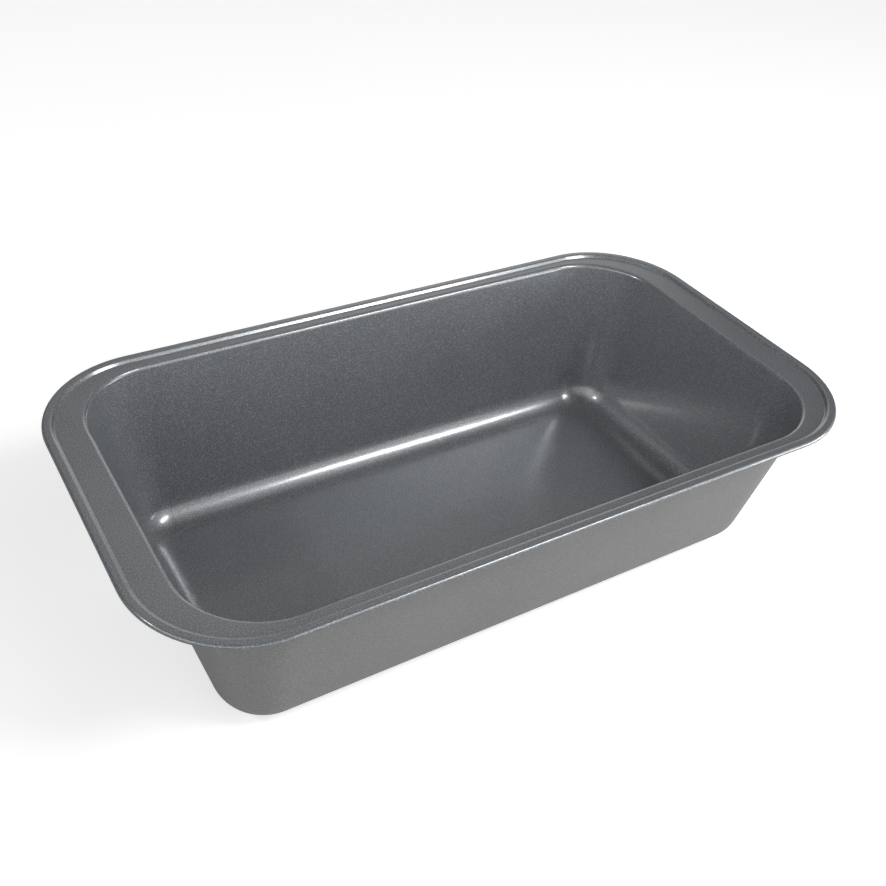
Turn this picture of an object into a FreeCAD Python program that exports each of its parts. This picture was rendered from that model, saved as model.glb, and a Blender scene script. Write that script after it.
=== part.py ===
"""Loaf pan, pressed from one sheet of steel and coated on both faces.

The pan is a tapered tub with a wide base fillet, a flat flange that is narrow along the sides
and wide at the ends, a small step up from the flange, and an edge turned under as a flat hem.
Its wall is a skin of three layers: the outside coat, the steel and the food-side coat.

A layer is the space between two depths in the skin. Depth 0 is the pan's outer face, which is
the underside of the base and flange, and the full skin is the food side. Each layer is a body
of four features: a floor pad, a wall section swept round the base outline, a flange pad and a
rim section swept round the rim outline. All four take their sizes from the sheet "dims".

Frame: millimetres, +Z up, +X along the pan, origin at the centre of the base's underside.
"""
import FreeCAD
import Part
import Sketcher
import math
import os
from FreeCAD import Vector

DIMENSIONS = [
    ("rim_length", 270, "over the rim, end to end"),
    ("rim_width", 148, "over the rim, side to side"),
    ("rim_corner", 38, "corner radius of the rim outline"),
    ("pan_height", 65, "underside of the base to the top of the rim"),
    ("base_length", 215, "base outline where the wall line meets the base plane"),
    ("base_width", 106, "the same, side to side"),
    ("base_corner", 15.5, "corner radius of the base outline"),
    ("wall_taper", 12, "degrees between the wall and upright"),
    ("base_fillet", 14, "outside radius between base and wall"),
    ("lip_radius", 1.7, "top radius between wall and flange"),
    ("steel", 0.5, "thickness of the steel sheet"),
    ("coat", 0.1, "thickness of each coat"),
    ("hem_gap", 0.45, "space inside the turned-under edge"),
    ("hem_reach", 2.4, "from the rim's outside to the sheet's cut edge under the rim"),
    ("crest_width", 2.95, "from the rim's outside to the step's upper corner"),
    ("step_slope", 48, "degrees between the step and the flange"),
    ("step_upper_radius", 1.0, "top radius between crest and step"),
    ("step_lower_radius", 0.4, "top radius between step and flange"),
    ("floor_inset", 12, "from the base outline in to the edge of the floor pad"),
    ("lip_outset", 14.6, "from the base outline out to the inner edge of the flange pad"),
    ("rim_band", 4.7, "from the rim's outside in to the outer edge of the flange pad"),
]

SKIN = "(dims.steel + 2 * dims.coat)"
HEM_HEIGHT = "(2 * %s + dims.hem_gap)" % SKIN
FLANGE_LEVEL = "(dims.pan_height - %s)" % HEM_HEIGHT
LAYERS = [
    ("outer_coating", "0", "dims.coat"),
    ("pan_body", "dims.coat", "(dims.coat + dims.steel)"),
    ("inner_coating", "(dims.coat + dims.steel)", SKIN),
]

START = 1
END = 2
CENTRE = 3
AXIS = -1
ORIGIN = (-1, 1)


def make_dims(doc):
    """Write the driving dimensions to the sheet, one row each: name, value, note."""
    dims = doc.addObject("Spreadsheet::Sheet", "dims")
    for row, (alias, value, note) in enumerate(DIMENSIONS, start=1):
        dims.set("A%d" % row, alias)
        dims.set("B%d" % row, str(value))
        dims.set("C%d" % row, note)
        dims.setAlias("B%d" % row, alias)
    doc.recompute()
    return dims


def number(expression):
    """The present value of an expression in the sheet's dimensions."""
    return float(FreeCAD.ActiveDocument.dims.evalExpression(expression))


def new_sketch(body, name, role, height="0"):
    """A sketch on the body's own origin plane with this role, raised by an expression."""
    plane = [feature for feature in body.Origin.OriginFeatures if feature.Role == role][0]
    sketch = body.newObject("Sketcher::SketchObject", body.Name + "_" + name)
    sketch.AttachmentSupport = [(plane, "")]
    sketch.MapMode = "FlatFace"
    sketch.setExpression("AttachmentOffset.Base.z", height)
    return sketch


def relate(sketch, kind, *places):
    """Add a constraint without a size."""
    sketch.addConstraint(Sketcher.Constraint(kind, *places))


def drive(sketch, expression, kind, *places):
    """Add a constraint with a size, and bind the size to the sheet."""
    size = number(expression)
    if kind == "Angle":
        size = math.radians(size)
    index = sketch.addConstraint(Sketcher.Constraint(kind, *places, size))
    sketch.setExpression("Constraints[%d]" % index, expression)


def place(sketch, across, up, geometry, point):
    """Fix a point's distances from the sketch's origin; None leaves that distance free."""
    if across is not None:
        drive(sketch, across, "DistanceX", *ORIGIN, geometry, point)
    if up is not None:
        drive(sketch, up, "DistanceY", *ORIGIN, geometry, point)


def add_arc(sketch, centre, radius, first, last):
    """Add an arc between two angles in degrees, anticlockwise, and return its number."""
    circle = Part.Circle(Vector(*centre, 0), Vector(0, 0, 1), radius)
    arc = Part.ArcOfCircle(circle, math.radians(first), math.radians(last))
    return sketch.addGeometry(arc, False)


def add_line(sketch, start, end, construction=False):
    """Add a straight line between two points and return its number."""
    return sketch.addGeometry(Part.LineSegment(Vector(*start, 0), Vector(*end, 0)), construction)


def tip(sketch, geometry, point):
    """The coordinates of a point of some geometry, as a pair."""
    found = sketch.getPoint(geometry, point)
    return found.x, found.y


def join_arcs(sketch, first, second):
    """Add the line that joins two arcs' free ends smoothly, each given with the end it uses."""
    line = add_line(sketch, tip(sketch, *first), tip(sketch, *second))
    relate(sketch, "Tangent", line, START, *first)
    relate(sketch, "Tangent", line, END, *second)


def run_out(sketch, arc_end, across):
    """Add the level line from an arc's end to a given distance across, and return its number."""
    start = tip(sketch, *arc_end)
    line = add_line(sketch, start, (number(across), start[1]))
    relate(sketch, "Tangent", line, START, *arc_end)
    relate(sketch, "Horizontal", line)
    place(sketch, across, None, line, END)
    return line


def close_end(sketch, first, second):
    """Add the straight edge between the far ends of two lines."""
    edge = add_line(sketch, tip(sketch, first, END), tip(sketch, second, END))
    relate(sketch, "Coincident", edge, START, first, END)
    relate(sketch, "Coincident", edge, END, second, END)


def outline(sketch, length, width, corner):
    """Add a rounded rectangle about the sketch's origin, sizes given as expressions."""
    radius = number(corner)
    reach = (number(length) / 2 - radius, number(width) / 2 - radius)
    signs = [(1, 1), (-1, 1), (-1, -1), (1, -1)]
    arcs = []
    for turn, (across, up) in enumerate(signs):
        centre = (across * reach[0], up * reach[1])
        arcs.append(add_arc(sketch, centre, radius, 90 * turn, 90 * turn + 90))
    for turn, direction in enumerate(["Horizontal", "Vertical", "Horizontal", "Vertical"]):
        following = arcs[(turn + 1) % 4]
        line = add_line(sketch, tip(sketch, arcs[turn], END), tip(sketch, following, START))
        relate(sketch, "Tangent", line, START, arcs[turn], END)
        relate(sketch, "Tangent", line, END, following, START)
        relate(sketch, direction, line)
    for arc in arcs[1:]:
        relate(sketch, "Equal", arcs[0], arc)
    relate(sketch, "Symmetric", arcs[0], CENTRE, arcs[2], CENTRE, *ORIGIN)
    drive(sketch, corner, "Radius", arcs[0])
    place(sketch, length + " / 2", None, arcs[0], START)
    place(sketch, None, width + " / 2", arcs[0], END)


def base_outline(sketch, outset):
    """Add the base outline grown outward all round by an expression."""
    size = "(dims.%s + 2 * " + outset + ")"
    outline(sketch, size % "base_length", size % "base_width", "(dims.base_corner + %s)" % outset)


def rim_outline(sketch, inset):
    """Add the rim outline shrunk inward all round by an expression."""
    size = "(dims.%s - 2 * " + inset + ")"
    outline(sketch, size % "rim_length", size % "rim_width", "(dims.rim_corner - %s)" % inset)


def concentric(sketch, arcs, centre_height, reference, distance):
    """Give two arcs one centre, at a height and at a distance from a reference line."""
    relate(sketch, "Coincident", arcs[0], CENTRE, arcs[1], CENTRE)
    place(sketch, None, centre_height, arcs[0], CENTRE)
    drive(sketch, distance, "Distance", arcs[0], CENTRE, reference)


def wall_section(sketch, depths):
    """Draw one layer from the floor, round the base fillet, up the wall and over the lip."""
    taper = number("dims.wall_taper")
    slant = math.radians(taper)
    fillet = number("dims.base_fillet")
    edge = number("dims.base_width / 2")
    lip = "(dims.lip_radius - %s)" % SKIN
    lip_height = "%s - %s" % (FLANGE_LEVEL, lip)
    under = number(lip)
    rise = number(lip_height)
    fillet_centre = (edge - fillet * math.tan(math.pi / 4 - slant / 2), fillet)
    lip_centre = (edge + rise * math.tan(slant) + under / math.cos(slant), rise)

    wall_top = (edge + rise * math.tan(slant), rise)
    wall = add_line(sketch, (edge, 0), wall_top, construction=True)
    relate(sketch, "PointOnObject", wall, START, AXIS)
    place(sketch, "dims.base_width / 2", None, wall, START)
    place(sketch, None, lip_height, wall, END)
    drive(sketch, "90 - dims.wall_taper", "Angle", wall)

    low_arcs = []
    high_arcs = []
    floor_lines = []
    flange_lines = []
    for depth in depths:
        low = add_arc(sketch, fillet_centre, fillet - number(depth), -90, -taper)
        high = add_arc(sketch, lip_centre, under + number(depth), 90, 180 - taper)
        drive(sketch, "dims.base_fillet - " + depth, "Radius", low)
        drive(sketch, lip + " + " + depth, "Radius", high)
        low_arcs.append(low)
        high_arcs.append(high)
    concentric(sketch, low_arcs, "dims.base_fillet", wall, "dims.base_fillet")
    concentric(sketch, high_arcs, lip_height, wall, lip)
    for low, high in zip(low_arcs, high_arcs):
        join_arcs(sketch, (low, END), (high, END))
        floor_lines.append(run_out(sketch, (low, START), "dims.base_width / 2 - dims.floor_inset"))
        flange_lines.append(run_out(sketch, (high, START), "dims.base_width / 2 + dims.lip_outset"))
    close_end(sketch, *floor_lines)
    close_end(sketch, *flange_lines)


def rim_section(sketch, depths):
    """Draw one layer from the flange, up the step, over the crest and round the hem."""
    slope = number("dims.step_slope")
    lean = math.radians(slope)
    upper = number("dims.step_upper_radius")
    lower = number("dims.step_lower_radius")
    top = number("dims.pan_height")
    flange_top = "(%s + %s)" % (FLANGE_LEVEL, SKIN)
    drop = top - number(flange_top)
    crest = "(dims.rim_width / 2 - dims.crest_width)"
    crest_corner = (number(crest), top)
    foot_corner = (number(crest) - drop / math.tan(lean), top - drop)
    hem_centre = (number("dims.rim_width / 2 - %s / 2" % HEM_HEIGHT), top - number(HEM_HEIGHT) / 2)
    upper_centre = (crest_corner[0] + upper * math.tan(lean / 2), top - upper)
    lower_centre = (foot_corner[0] - lower * math.tan(lean / 2), top - drop + lower)

    step = add_line(sketch, foot_corner, crest_corner, construction=True)
    place(sketch, crest, "dims.pan_height", step, END)
    place(sketch, None, flange_top, step, START)
    drive(sketch, "dims.step_slope", "Angle", step)

    hem_arcs = []
    upper_arcs = []
    lower_arcs = []
    edge_lines = []
    flange_lines = []
    for depth in depths:
        shell = number(SKIN) - number(depth)
        hem = add_arc(sketch, hem_centre, number(HEM_HEIGHT) / 2 - shell, -90, 90)
        high = add_arc(sketch, upper_centre, upper - shell, 90, 90 + slope)
        low = add_arc(sketch, lower_centre, lower + shell, -90, slope - 90)
        drive(sketch, "dims.hem_gap / 2 + " + depth, "Radius", hem)
        drive(sketch, "dims.step_upper_radius - %s + %s" % (SKIN, depth), "Radius", high)
        drive(sketch, "dims.step_lower_radius + %s - %s" % (SKIN, depth), "Radius", low)
        hem_arcs.append(hem)
        upper_arcs.append(high)
        lower_arcs.append(low)
    relate(sketch, "Coincident", hem_arcs[0], CENTRE, hem_arcs[1], CENTRE)
    place(
        sketch,
        "dims.rim_width / 2 - %s / 2" % HEM_HEIGHT,
        "dims.pan_height - %s / 2" % HEM_HEIGHT,
        hem_arcs[0],
        CENTRE,
    )
    upper_height = "dims.pan_height - dims.step_upper_radius"
    concentric(sketch, upper_arcs, upper_height, step, "dims.step_upper_radius")
    lower_height = flange_top + " + dims.step_lower_radius"
    concentric(sketch, lower_arcs, lower_height, step, "dims.step_lower_radius")
    for hem, high, low in zip(hem_arcs, upper_arcs, lower_arcs):
        join_arcs(sketch, (hem, END), (high, START))
        join_arcs(sketch, (high, END), (low, END))
        edge_lines.append(run_out(sketch, (hem, START), "dims.rim_width / 2 - dims.hem_reach"))
        flange_lines.append(run_out(sketch, (low, START), "dims.rim_width / 2 - dims.rim_band"))
    close_end(sketch, *edge_lines)
    close_end(sketch, *flange_lines)


def add_pad(body, name, sketch, thickness):
    """Pad a sketch upward by an expression."""
    pad = body.newObject("PartDesign::Pad", body.Name + "_" + name)
    pad.Profile = sketch
    pad.setExpression("Length", thickness)
    sketch.Visibility = False


def add_sweep(body, name, section, path):
    """Sweep a section sketch round a closed path sketch."""
    edges = ["Edge%d" % (index + 1) for index in range(len(path.Shape.Edges))]
    sweep = body.newObject("PartDesign::AdditivePipe", body.Name + "_" + name)
    sweep.Profile = section
    sweep.Spine = (path, edges)
    section.Visibility = False
    path.Visibility = False


def make_layer(doc, label, outer_depth, inner_depth):
    """Build one layer of the skin between two depths, as a body of its own."""
    body = doc.addObject("PartDesign::Body", label)
    body.Label = label
    thickness = "%s - %s" % (inner_depth, outer_depth)
    depths = [outer_depth, inner_depth]

    floor = new_sketch(body, "floor_outline", "XY_Plane", outer_depth)
    base_outline(floor, "(-dims.floor_inset)")
    add_pad(body, "floor", floor, thickness)

    wall_path = new_sketch(body, "wall_path", "XY_Plane")
    base_outline(wall_path, "0")
    wall = new_sketch(body, "wall_section", "YZ_Plane")
    wall_section(wall, depths)
    doc.recompute()
    add_sweep(body, "wall", wall, wall_path)

    flange = new_sketch(body, "flange_outline", "XY_Plane", FLANGE_LEVEL + " + " + outer_depth)
    rim_outline(flange, "dims.rim_band")
    base_outline(flange, "dims.lip_outset")
    add_pad(body, "flange", flange, thickness)

    rim_path = new_sketch(body, "rim_path", "XY_Plane", "dims.pan_height")
    rim_outline(rim_path, "0")
    rim = new_sketch(body, "rim_section", "YZ_Plane")
    rim_section(rim, depths)
    doc.recompute()
    add_sweep(body, "rim", rim, rim_path)
    doc.recompute()
    return body


def check_document(doc, bodies):
    """Stop if any object failed to build or any layer is not one valid solid."""
    for item in doc.Objects:
        if "Invalid" in item.State or "Error" in item.State:
            raise RuntimeError("%s did not build: %s" % (item.Label, item.State))
    for body in bodies:
        shape = body.Shape
        if shape.isNull() or not shape.isValid() or len(shape.Solids) != 1:
            raise RuntimeError("%s is not one valid solid" % body.Label)


def main():
    """Build every layer and write each one as a STEP file named after it."""
    doc = FreeCAD.newDocument("loaf_pan")
    make_dims(doc)
    bodies = [make_layer(doc, *layer) for layer in LAYERS]
    doc.recompute()
    check_document(doc, bodies)
    os.makedirs("parts", exist_ok=True)
    for body in bodies:
        body.Shape.exportStep(os.path.join("parts", body.Label + ".step"))
        print(body.Label, round(body.Shape.Volume, 1), "mm3", body.Shape.BoundBox)


main()
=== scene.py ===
"""The loaf pan's looks: the three layers of its skin as dense quad shells, their finishes,
and a plain studio. Lengths are metres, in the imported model's frame: origin at the centre of the
base's underside, +X along the pan, +Z up.

A depth in the skin is measured from its outer face, which is 0 under the base and the flange,
to the food side, which is the full thickness. The section of the skin is the same all round.
"""
import math

import bpy
import numpy as np
from mathutils import Matrix, Vector


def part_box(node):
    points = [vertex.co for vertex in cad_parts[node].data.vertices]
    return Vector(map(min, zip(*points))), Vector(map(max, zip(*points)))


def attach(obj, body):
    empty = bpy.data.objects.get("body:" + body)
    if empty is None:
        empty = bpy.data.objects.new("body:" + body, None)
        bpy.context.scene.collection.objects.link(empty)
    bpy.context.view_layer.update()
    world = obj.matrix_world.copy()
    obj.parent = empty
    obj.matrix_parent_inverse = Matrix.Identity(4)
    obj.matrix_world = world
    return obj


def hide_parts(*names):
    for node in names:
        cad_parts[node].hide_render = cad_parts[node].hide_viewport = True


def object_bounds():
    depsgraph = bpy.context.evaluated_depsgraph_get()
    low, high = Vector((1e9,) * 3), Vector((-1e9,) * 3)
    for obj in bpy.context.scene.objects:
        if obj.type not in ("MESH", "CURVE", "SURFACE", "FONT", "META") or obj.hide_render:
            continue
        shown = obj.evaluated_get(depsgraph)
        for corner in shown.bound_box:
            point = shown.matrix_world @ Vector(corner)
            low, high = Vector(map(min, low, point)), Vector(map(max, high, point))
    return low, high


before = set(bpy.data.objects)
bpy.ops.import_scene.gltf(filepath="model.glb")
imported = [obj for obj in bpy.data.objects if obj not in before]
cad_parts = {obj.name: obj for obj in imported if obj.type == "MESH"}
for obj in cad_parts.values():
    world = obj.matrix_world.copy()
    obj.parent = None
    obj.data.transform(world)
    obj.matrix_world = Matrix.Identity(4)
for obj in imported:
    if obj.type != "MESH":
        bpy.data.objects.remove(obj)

CAD_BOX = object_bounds()
MM = 0.001

# The section of the skin.
BASE_HALF_LENGTH = 107.5 * MM
BASE_HALF_WIDTH = 53.0 * MM
BASE_CORNER = 15.5 * MM
BASE_FILLET = 14.0 * MM
WALL_TAPER = math.radians(12.0)
LIP_RADIUS = 1.7 * MM
RIM_CORNER = 38.0 * MM
HEM_GAP = 0.45 * MM
HEM_REACH = 2.4 * MM
CREST_WIDTH = 2.95 * MM
STEP_SLOPE = math.radians(48.0)
STEP_UPPER_RADIUS = 1.0 * MM
STEP_LOWER_RADIUS = 0.4 * MM

# How finely the shells are divided, round the pan and then along the section.
CORNER_STEPS = 24
LONG_STEPS = 36
SHORT_STEPS = 16
FILLET_STEPS = 20
WALL_STEPS = 12
LIP_STEPS = 10
FLANGE_STEPS = 4
STEP_ARC_STEPS = 8
STEP_SLOPE_STEPS = 2
CREST_STEPS = 3
HEM_STEPS = 20
HEM_LEG_STEPS = 2

# Edges that turn more sharply than this are shaded as edges.
SHARP_EDGE = math.radians(40.0)

# The camera: above the pan's front left, turned a little about its own view.
CAMERA_PLACE = (-0.1799, -0.2489, 0.2839)
CAMERA_TARGET = (-0.0062, 0.0135, 0.0427)
CAMERA_ROLL = math.radians(5.15)
CAMERA_LENS_MM = 43.26
CAMERA_SHIFT = (0.0247, -0.0125)
CAMERA_CLIP_START = 0.01

# The studio. Bearings are degrees round from +X, heights and spreads are degrees too.
FLOOR_HALF_SIZE = 6.0
# How bright the surroundings are away from the glows, and how bright the camera sees them.
DIM_LEVEL = 0.06
SEEN_LEVEL = 1.0
# Round soft patches of light in the surroundings: bearing, height, spread, brightness.
GLOWS = [
    (292, 5, 38, 1.7),
    (300, 36, 24, 0.7),
    (335, 25, 40, 0.4),
    (318, 60, 18, 0.7),
    (288, 46, 13, 1.3),
    (228, 12, 50, 1.4),
    (188, 32, 27, 1.6),
    (58, 16, 22, 1.3),
    (68, 50, 26, 0.4),
]
# Rectangular lamps: name, bearing, height, distance, width, depth, brightness.
LAMPS = [
    ("key", 312.5, 48, 0.95, 0.34, 0.14, 22.5),
    ("left", 166, 38, 1.1, 0.06, 0.06, 150),
    ("low_right", 325, 8, 0.55, 0.25, 0.2, 7),
]


# ---------------------------------------------------------------- the section

def arc(centre, radius, first, last, steps):
    """Points along an arc, both ends included."""
    angles = np.linspace(first, last, steps + 1)
    return [(centre[0] + radius * math.cos(a), centre[1] + radius * math.sin(a)) for a in angles]


def between(start, end, steps):
    """The points that divide a straight stretch, without its ends."""
    shares = np.arange(1, steps) / steps
    return [tuple(np.array(start) * (1 - share) + np.array(end) * share) for share in shares]


def tub_section(depth, skin, flange_level):
    """From the floor's edge up the wall and over the lip to the flange, as (reach, height).

    Reach is measured outward from the base's corner centres.
    """
    under_lip = LIP_RADIUS - skin
    rise = flange_level - under_lip
    fillet_reach = BASE_CORNER - BASE_FILLET * math.tan(math.pi / 4 - WALL_TAPER / 2)
    lip_reach = BASE_CORNER + rise * math.tan(WALL_TAPER) + under_lip / math.cos(WALL_TAPER)
    fillet = arc(
        (fillet_reach, BASE_FILLET), BASE_FILLET - depth, -math.pi / 2, -WALL_TAPER, FILLET_STEPS
    )
    lip = arc(
        (lip_reach, rise), under_lip + depth, math.pi - WALL_TAPER, math.pi / 2, LIP_STEPS
    )
    return fillet + between(fillet[-1], lip[0], WALL_STEPS) + lip


def rim_section(depth, skin, top):
    """From the flange up the step, over the crest and round the hem to the cut edge.

    Reach is measured outward from the rim's corner centres.
    """
    quarter = math.pi / 2
    buried = skin - depth
    hem_height = 2 * skin + HEM_GAP
    step_height = hem_height - skin
    lean = math.tan(STEP_SLOPE / 2)
    foot_reach = RIM_CORNER - CREST_WIDTH - step_height / math.tan(STEP_SLOPE)
    lower = arc(
        (foot_reach - STEP_LOWER_RADIUS * lean, top - step_height + STEP_LOWER_RADIUS),
        STEP_LOWER_RADIUS + buried, -quarter, STEP_SLOPE - quarter, STEP_ARC_STEPS,
    )
    upper = arc(
        (RIM_CORNER - CREST_WIDTH + STEP_UPPER_RADIUS * lean, top - STEP_UPPER_RADIUS),
        STEP_UPPER_RADIUS - buried, quarter + STEP_SLOPE, quarter, STEP_ARC_STEPS,
    )
    hem = arc(
        (RIM_CORNER - hem_height / 2, top - hem_height / 2),
        hem_height / 2 - buried, quarter, -quarter, HEM_STEPS,
    )
    cut_edge = (RIM_CORNER - HEM_REACH, hem[-1][1])
    slope = between(lower[-1], upper[0], STEP_SLOPE_STEPS)
    crest = between(upper[-1], hem[0], CREST_STEPS)
    leg = between(hem[-1], cut_edge, HEM_LEG_STEPS)
    return lower + slope + upper + crest + hem + leg + [cut_edge]


# ---------------------------------------------------------------- the shells

def core_loop(half_length, half_width):
    """The rectangle of corner centres as a loop of points, and the way outward from each.

    Moving the loop outward by a radius gives a rounded outline with that corner radius.
    """
    corners = [
        (half_length, half_width), (-half_length, half_width),
        (-half_length, -half_width), (half_length, -half_width),
    ]
    points = []
    outward = []
    for turn, corner in enumerate(corners):
        following = corners[(turn + 1) % 4]
        side_steps = LONG_STEPS if turn % 2 == 0 else SHORT_STEPS
        for step in range(CORNER_STEPS):
            angle = math.pi / 2 * (turn + step / CORNER_STEPS)
            points.append(corner)
            outward.append((math.cos(angle), math.sin(angle)))
        for point in [corner] + between(corner, following, side_steps):
            angle = math.pi / 2 * (turn + 1)
            points.append(point)
            outward.append((math.cos(angle), math.sin(angle)))
    return np.array(points), np.array(outward)


def loop_at(core, reach, height):
    """One closed row of vertices, at a reach from the core loop and a height."""
    points, outward = core
    flat = points + outward * reach
    return np.column_stack([flat, np.full(len(flat), height)])


def face_rows(depth, skin):
    """One face of a layer as rows of vertices, from the floor's edge to the sheet's cut edge."""
    half_length, half_width, top = CAD_BOX[1]
    flange_level = top - 2 * skin - HEM_GAP
    base_core = core_loop(BASE_HALF_LENGTH - BASE_CORNER, BASE_HALF_WIDTH - BASE_CORNER)
    rim_core = core_loop(half_length - RIM_CORNER, half_width - RIM_CORNER)
    tub = [loop_at(base_core, *spot) for spot in tub_section(depth, skin, flange_level)]
    rim = [loop_at(rim_core, *spot) for spot in rim_section(depth, skin, top)]
    shares = np.arange(1, FLANGE_STEPS) / FLANGE_STEPS
    flange = [tub[-1] * (1 - share) + rim[0] * share for share in shares]
    return tub + flange + rim


def floor_patch(edge, first):
    """A grid of quads that fills the floor inside its edge row.

    Its four corners are the middles of the edge's rounded corners. It blends the four sides
    (a Coons patch). Returns the new inner vertices, numbered from first, and the quads.
    """
    count = len(edge)
    across = LONG_STEPS + CORNER_STEPS
    along = SHORT_STEPS + CORNER_STEPS
    back_right = CORNER_STEPS // 2
    back_left = back_right + across
    front_left = back_left + along
    front_right = front_left + across
    front = [(front_left + i) % count for i in range(across + 1)]
    back = [(back_left - i) % count for i in range(across + 1)]
    left = [(front_left - j) % count for j in range(along + 1)]
    right = [(front_right + j) % count for j in range(along + 1)]
    number = np.zeros((across + 1, along + 1), int)
    number[:, 0] = front
    number[:, -1] = back
    number[0, :] = left
    number[-1, :] = right
    inner = []
    for i in range(1, across):
        for j in range(1, along):
            u = i / across
            v = j / along
            sides = edge[front[i]] * (1 - v) + edge[back[i]] * v
            ends = edge[left[j]] * (1 - u) + edge[right[j]] * u
            low = edge[front[0]] * (1 - u) + edge[front[-1]] * u
            high = edge[back[0]] * (1 - u) + edge[back[-1]] * u
            number[i, j] = first + len(inner)
            inner.append(sides + ends - low * (1 - v) - high * v)
    quads = [
        (number[i, j], number[i + 1, j], number[i + 1, j + 1], number[i, j + 1])
        for i in range(across) for j in range(along)
    ]
    return np.array(inner), quads


def face_mesh(depth, skin):
    """One face of a layer: its vertices, its quads facing the food side, and its last row."""
    rows = face_rows(depth, skin)
    number = np.arange(len(rows) * len(rows[0])).reshape(len(rows), -1)
    following = np.roll(number, -1, axis=1)
    wall_quads = np.stack([number[:-1], number[1:], following[1:], following[:-1]], axis=-1)
    inner, floor_quads = floor_patch(rows[0], number.size)
    quads = np.vstack([wall_quads.reshape(-1, 4), floor_quads])
    return np.vstack(rows + [inner]), quads, number[-1]


def make_layer(name, outer_depth, inner_depth, skin, node, finish):
    """One layer of the skin as a closed shell between two depths, standing for its CAD node.

    The two faces are joined by a strip along the sheet's cut edge, under the hem.
    """
    outer, outer_quads, outer_edge = face_mesh(outer_depth, skin)
    inner, inner_quads, inner_edge = face_mesh(inner_depth, skin)
    inner_quads = inner_quads + len(outer)
    inner_edge = inner_edge + len(outer)
    cut = np.column_stack(
        [outer_edge, np.roll(outer_edge, -1), np.roll(inner_edge, -1), inner_edge]
    )
    quads = np.vstack([outer_quads[:, ::-1], inner_quads, cut])
    mesh = bpy.data.meshes.new(name)
    mesh.from_pydata(np.vstack([outer, inner]).tolist(), [], quads.tolist())
    mesh.validate()
    mesh.shade_smooth()
    mesh.set_sharp_from_angle(angle=SHARP_EDGE)
    piece = bpy.data.objects.new(name, mesh)
    bpy.context.scene.collection.objects.link(piece)
    shading = piece.modifiers.new("level_shading", "WEIGHTED_NORMAL")
    shading.keep_sharp = True
    mesh.materials.append(finish)
    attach(piece, "root")
    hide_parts(node)


# ---------------------------------------------------------------- finishes

def add_node(tree, kind, inputs=None, **settings):
    """A shader node with its settings, its inputs given values or joined to other nodes."""
    made = tree.nodes.new("ShaderNode" + kind)
    for name, value in settings.items():
        setattr(made, name, value)
    for name, value in (inputs or {}).items():
        if isinstance(value, bpy.types.NodeSocket):
            tree.links.new(value, made.inputs[name])
        else:
            made.inputs[name].default_value = value
    return made


def new_finish(name):
    """An empty material, its node tree and the place on the object, in metres."""
    finish = bpy.data.materials.new(name)
    finish.use_nodes = True
    tree = finish.node_tree
    tree.nodes.clear()
    place = add_node(tree, "TexCoord").outputs["Object"]
    return finish, tree, place


def grain(tree, place, size, detail=2.0):
    """Noise with features of one size, around 0.5."""
    noise = add_node(tree, "TexNoise", {"Vector": place, "Scale": 1 / size, "Detail": detail})
    return noise.outputs["Fac"]


def span(tree, value, low, high, start=0.3, end=0.7):
    """A value from start to end spread over low to high, and held there beyond."""
    inputs = {"Value": value, "From Min": start, "From Max": end, "To Min": low, "To Max": high}
    return add_node(tree, "MapRange", inputs).outputs["Result"]


def opaque(colour):
    """A fixed colour with its alpha; a colour worked out by a node is passed through."""
    return colour if isinstance(colour, bpy.types.NodeSocket) else (*colour, 1)


def blend_colours(tree, share, first, second):
    """The first colour where share is 0, the second where it is 1, and a mix in between."""
    inputs = {"Fac": share, "Color1": opaque(first), "Color2": opaque(second)}
    return add_node(tree, "MixRGB", inputs).outputs["Color"]


def bump(tree, height, distance, **inputs):
    """The surface's normal, disturbed by a height of up to a distance."""
    inputs = {"Height": height, "Distance": distance, **inputs}
    return add_node(tree, "Bump", inputs).outputs["Normal"]


def add_surface(tree, inputs):
    """The shader that gives the material its look, joined to the material's output."""
    surface = add_node(tree, "BsdfPrincipled", inputs)
    add_node(tree, "OutputMaterial", {"Surface": surface.outputs["BSDF"]})


def flaked_colour(tree, mottle, grounds, flake, metal, share, start, end):
    """A ground mottled between two colours, with flakes of metal where the flake grain is high.

    The flakes' share rises from nothing at the grain's start value to share at its end value.
    """
    ground = blend_colours(tree, span(tree, mottle, 0, 1), *grounds)
    return blend_colours(tree, span(tree, flake, 0, share, start, end), ground, metal)


def food_side_finish():
    """Dark blue-grey non-stick coat, semi-gloss, full of fine metal flake."""
    finish, tree, place = new_finish("food_side_nonstick")
    flake = grain(tree, place, 0.38 * MM, detail=1.0)
    mottle = grain(tree, place, 26 * MM, detail=3.0)
    grounds = ((0.146, 0.157, 0.168), (0.165, 0.177, 0.189))
    metal = (0.42, 0.44, 0.46)
    ripple = bump(tree, grain(tree, place, 9 * MM, detail=1.0), distance=0.01 * MM)
    add_surface(tree, {
        "Base Color": flaked_colour(
            tree, mottle, grounds, flake, metal, share=0.7, start=0.46, end=0.72
        ),
        "Metallic": 0.32,
        "Roughness": span(tree, flake, 0.29, 0.38),
        "Coat Weight": 1.0,
        "Coat IOR": 1.65,
        "Coat Roughness": 0.15,
        "Normal": bump(tree, flake, distance=0.012 * MM, Normal=ripple),
        "Coat Normal": ripple,
    })
    return finish


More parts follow.
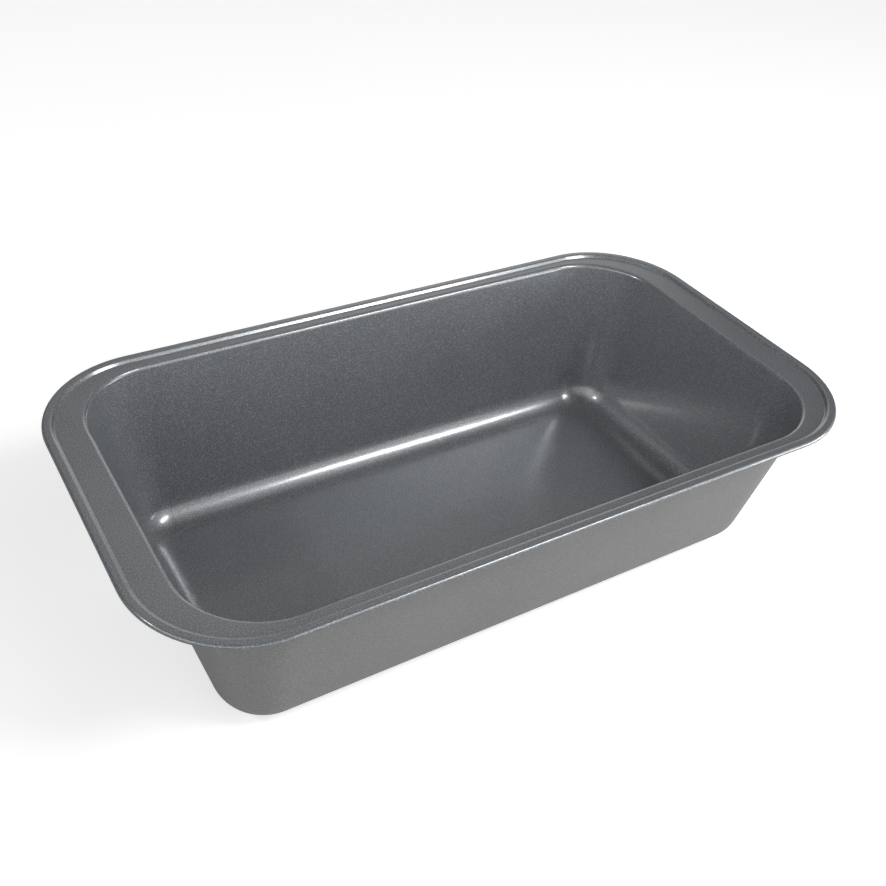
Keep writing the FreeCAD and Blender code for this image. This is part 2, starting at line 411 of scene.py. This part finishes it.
def outside_finish():
    """Plain mid-grey heat-resistant coat, satin, with a fainter grain."""
    finish, tree, place = new_finish("outside_coat_grey")
    flake = grain(tree, place, 0.45 * MM, detail=1.0)
    mottle = grain(tree, place, 34 * MM, detail=3.0)
    grounds = ((0.190, 0.192, 0.193), (0.212, 0.214, 0.215))
    metal = (0.37, 0.37, 0.37)
    add_surface(tree, {
        "Base Color": flaked_colour(
            tree, mottle, grounds, flake, metal, share=0.6, start=0.42, end=0.68
        ),
        "Metallic": 0.15,
        "Roughness": span(tree, flake, 0.40, 0.48),
        "Coat Weight": 0.6,
        "Coat Roughness": 0.25,
        "Normal": bump(tree, flake, distance=0.006 * MM),
    })
    return finish


def steel_finish():
    """Cold-rolled low-carbon steel, bright where it was trimmed, with fine level scratches."""
    finish, tree, place = new_finish("cold_rolled_steel")
    scratches_per_metre = (60, 60, 2500)
    stretched = add_node(tree, "Mapping", {"Vector": place, "Scale": scratches_per_metre})
    scratches = grain(tree, stretched.outputs["Vector"], 1.0, detail=3.0)
    tone = span(tree, grain(tree, place, 4 * MM), 0, 1)
    add_surface(tree, {
        "Base Color": blend_colours(tree, tone, (0.42, 0.42, 0.43), (0.55, 0.55, 0.55)),
        "Metallic": 1.0,
        "Roughness": span(tree, scratches, 0.28, 0.45),
        "Normal": bump(tree, scratches, distance=0.01 * MM),
    })
    return finish


def floor_finish():
    """White studio paper with a barely visible tooth, shown brighter than it lights the pan."""
    finish, tree, place = new_finish("studio_paper")
    bounced = (0.5, 0.5, 0.5)
    shown = (0.8, 0.8, 0.8)
    shown_lift = 0.5
    seen = add_node(tree, "LightPath").outputs["Is Camera Ray"]
    lift = add_node(tree, "MapRange", {"Value": seen, "To Max": shown_lift})
    add_surface(tree, {
        "Base Color": blend_colours(tree, seen, bounced, shown),
        "Roughness": span(tree, grain(tree, place, 0.8 * MM), 0.85, 0.95),
        "Specular IOR Level": 0.0,
        "Emission Color": (1, 1, 1, 1),
        "Emission Strength": lift.outputs["Result"],
    })
    return finish


# ---------------------------------------------------------------- studio

def add_floor():
    """A wide pale floor under the base."""
    mesh = bpy.data.meshes.new("floor")
    corners = [(-1, -1), (1, -1), (1, 1), (-1, 1)]
    mesh.from_pydata(
        [(x * FLOOR_HALF_SIZE, y * FLOOR_HALF_SIZE, CAD_BOX[0][2]) for x, y in corners],
        [], [(0, 1, 2, 3)],
    )
    mesh.materials.append(floor_finish())
    floor = bpy.data.objects.new("floor", mesh)
    bpy.context.scene.collection.objects.link(floor)


def direction(bearing, height):
    """The unit vector at a bearing round from +X and a height above the level, in degrees."""
    around = math.radians(bearing)
    up = math.radians(height)
    return (math.cos(around) * math.cos(up), math.sin(around) * math.cos(up), math.sin(up))


def aim(thing, place, target, roll=0.0):
    """Puts a light or the camera at a place, looking at a target, turned about its own view."""
    look = (Vector(target) - Vector(place)).to_track_quat("-Z", "Y").to_matrix().to_4x4()
    thing.matrix_world = Matrix.Translation(place) @ look @ Matrix.Rotation(roll, 4, "Z")


def add_light(name, bearing, height, distance, width, depth, brightness):
    """A soft rectangular light facing the pan. Its brightness is the radiance of its face."""
    light = bpy.data.lights.new(name, "AREA")
    light.shape = "RECTANGLE"
    light.size = width
    light.size_y = depth
    light.energy = brightness * math.pi * width * depth
    lamp = bpy.data.objects.new(name, light)
    bpy.context.scene.collection.objects.link(lamp)
    target = Vector((0, 0, CAD_BOX[1][2] / 2))
    aim(lamp, target + Vector(direction(bearing, height)) * distance, target)


def glow(tree, way, bearing, height, spread, brightness):
    """A round soft patch of light in the surroundings, fading to nothing at its edge."""
    middle = direction(bearing, height)
    near = add_node(tree, "VectorMath", {0: way, 1: middle}, operation="DOT_PRODUCT")
    inputs = {
        "Value": near.outputs["Value"], "From Min": math.cos(math.radians(spread)),
        "From Max": 1.0, "To Max": brightness,
    }
    return add_node(tree, "MapRange", inputs, interpolation_type="SMOOTHSTEP").outputs["Result"]


def add_world():
    """Dim surroundings with soft glows, which the camera itself sees as an even white."""
    world = bpy.data.worlds.new("studio")
    world.use_nodes = True
    tree = world.node_tree
    tree.nodes.clear()
    way = add_node(tree, "TexCoord").outputs["Generated"]
    level = add_node(tree, "Value").outputs["Value"]
    level.default_value = DIM_LEVEL
    for patch in GLOWS:
        raised = add_node(tree, "Math", {0: level, 1: glow(tree, way, *patch)}, operation="ADD")
        level = raised.outputs["Value"]
    seen = add_node(tree, "LightPath").outputs["Is Camera Ray"]
    strength = add_node(tree, "MapRange", {"Value": seen, "To Min": level, "To Max": SEEN_LEVEL})
    lit = add_node(tree, "Background", {"Strength": strength.outputs["Result"]})
    add_node(tree, "OutputWorld", {"Surface": lit.outputs["Background"]})
    bpy.context.scene.world = world


def add_camera():
    """A view from the front left and from above, a little off centre."""
    camera = bpy.data.cameras.new("camera")
    camera.lens = CAMERA_LENS_MM
    camera.shift_x, camera.shift_y = CAMERA_SHIFT
    camera.clip_start = CAMERA_CLIP_START
    viewer = bpy.data.objects.new("camera", camera)
    bpy.context.scene.collection.objects.link(viewer)
    aim(viewer, CAMERA_PLACE, CAMERA_TARGET, CAMERA_ROLL)
    bpy.context.scene.camera = viewer


# ---------------------------------------------------------------- the scene

def main():
    """Builds the three layers and the studio.

    The base is flat, so each layer's lowest point gives its depth in the skin. The two coats
    are equally thick.
    """
    base = CAD_BOX[0][2]
    steel_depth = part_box("pan_body")[0].z - base
    food_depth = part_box("inner_coating")[0].z - base
    skin = food_depth + steel_depth
    make_layer(
        "outside_coat", 0, steel_depth, skin, "outer_coating", outside_finish()
    )
    make_layer(
        "steel_sheet", steel_depth, food_depth, skin, "pan_body", steel_finish()
    )
    make_layer(
        "food_side_coat", food_depth, skin, skin, "inner_coating",
        food_side_finish(),
    )
    add_floor()
    add_world()
    for lamp in LAMPS:
        add_light(*lamp)
    add_camera()
    bpy.context.scene.view_settings.view_transform = "Standard"


main()
